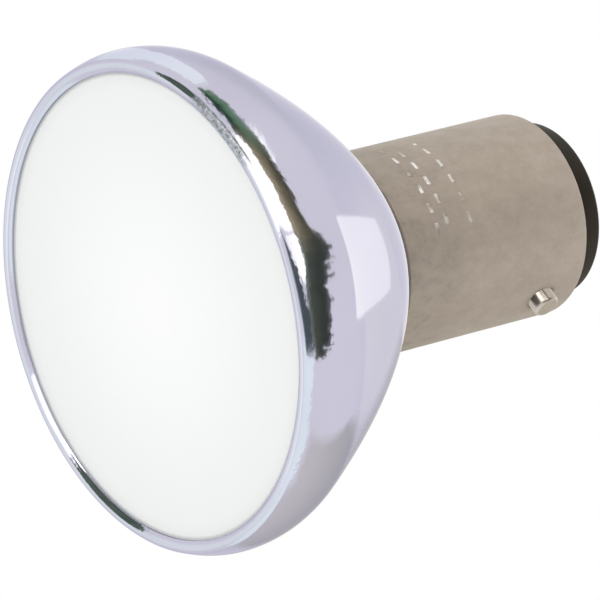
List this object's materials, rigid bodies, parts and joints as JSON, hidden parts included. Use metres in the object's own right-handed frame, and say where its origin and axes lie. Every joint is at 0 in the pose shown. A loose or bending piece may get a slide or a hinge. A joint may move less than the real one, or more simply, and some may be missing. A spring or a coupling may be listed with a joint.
{
  "type": "halogen reflector bulb",
  "caption": "Reflector bulb: a spun aluminium bowl closed by a frosted front glass, on a bayonet cap that pushes and turns into its holder.",
  "frame": {"origin": "centre of the front rim's plane, on which the bulb stands", "axes": "+Z along the bulb's axis, from the front glass to the contacts; +X through the bayonet pins; +Y through the contacts"},
  "size_m": [0.037, 0.037, 0.0382],
  "materials": {
    "spun_aluminium": "polished and lacquered",
    "frosted_glass": "frosted white",
    "quartz": "clear",
    "tungsten": "bare drawn wire",
    "molybdenum": "bare",
    "copper_wire": "tinned",
    "capsule_cement": "matt",
    "basing_cement": "matt",
    "nickel_plate": "satin nickel on brass",
    "pin_brass": "nickel plated and worn",
    "black_glass": "moulded, half gloss",
    "contact_brass": "plain",
    "solder": "dull bright"
  },
  "bodies": {
    "root": {"reflector": "spun_aluminium", "front_lens": "frosted_glass", "capsule_envelope": "quartz", "filament": "tungsten", "filament_lead_near": "molybdenum", "filament_lead_far": "molybdenum", "seal_foil_near": "molybdenum", "seal_foil_far": "molybdenum", "outer_lead_near": "molybdenum", "outer_lead_far": "molybdenum", "connecting_wire_near": "copper_wire", "connecting_wire_far": "copper_wire", "capsule_cement": "capsule_cement", "cap_cement": "basing_cement", "cap_shell": "nickel_plate", "bayonet_pin_a": "pin_brass", "bayonet_pin_b": "pin_brass", "insulator": "black_glass", "contact_plate_near": "contact_brass", "contact_plate_far": "contact_brass", "solder_dome_near": "solder", "solder_dome_far": "solder"}
  },
  "joints": []
}
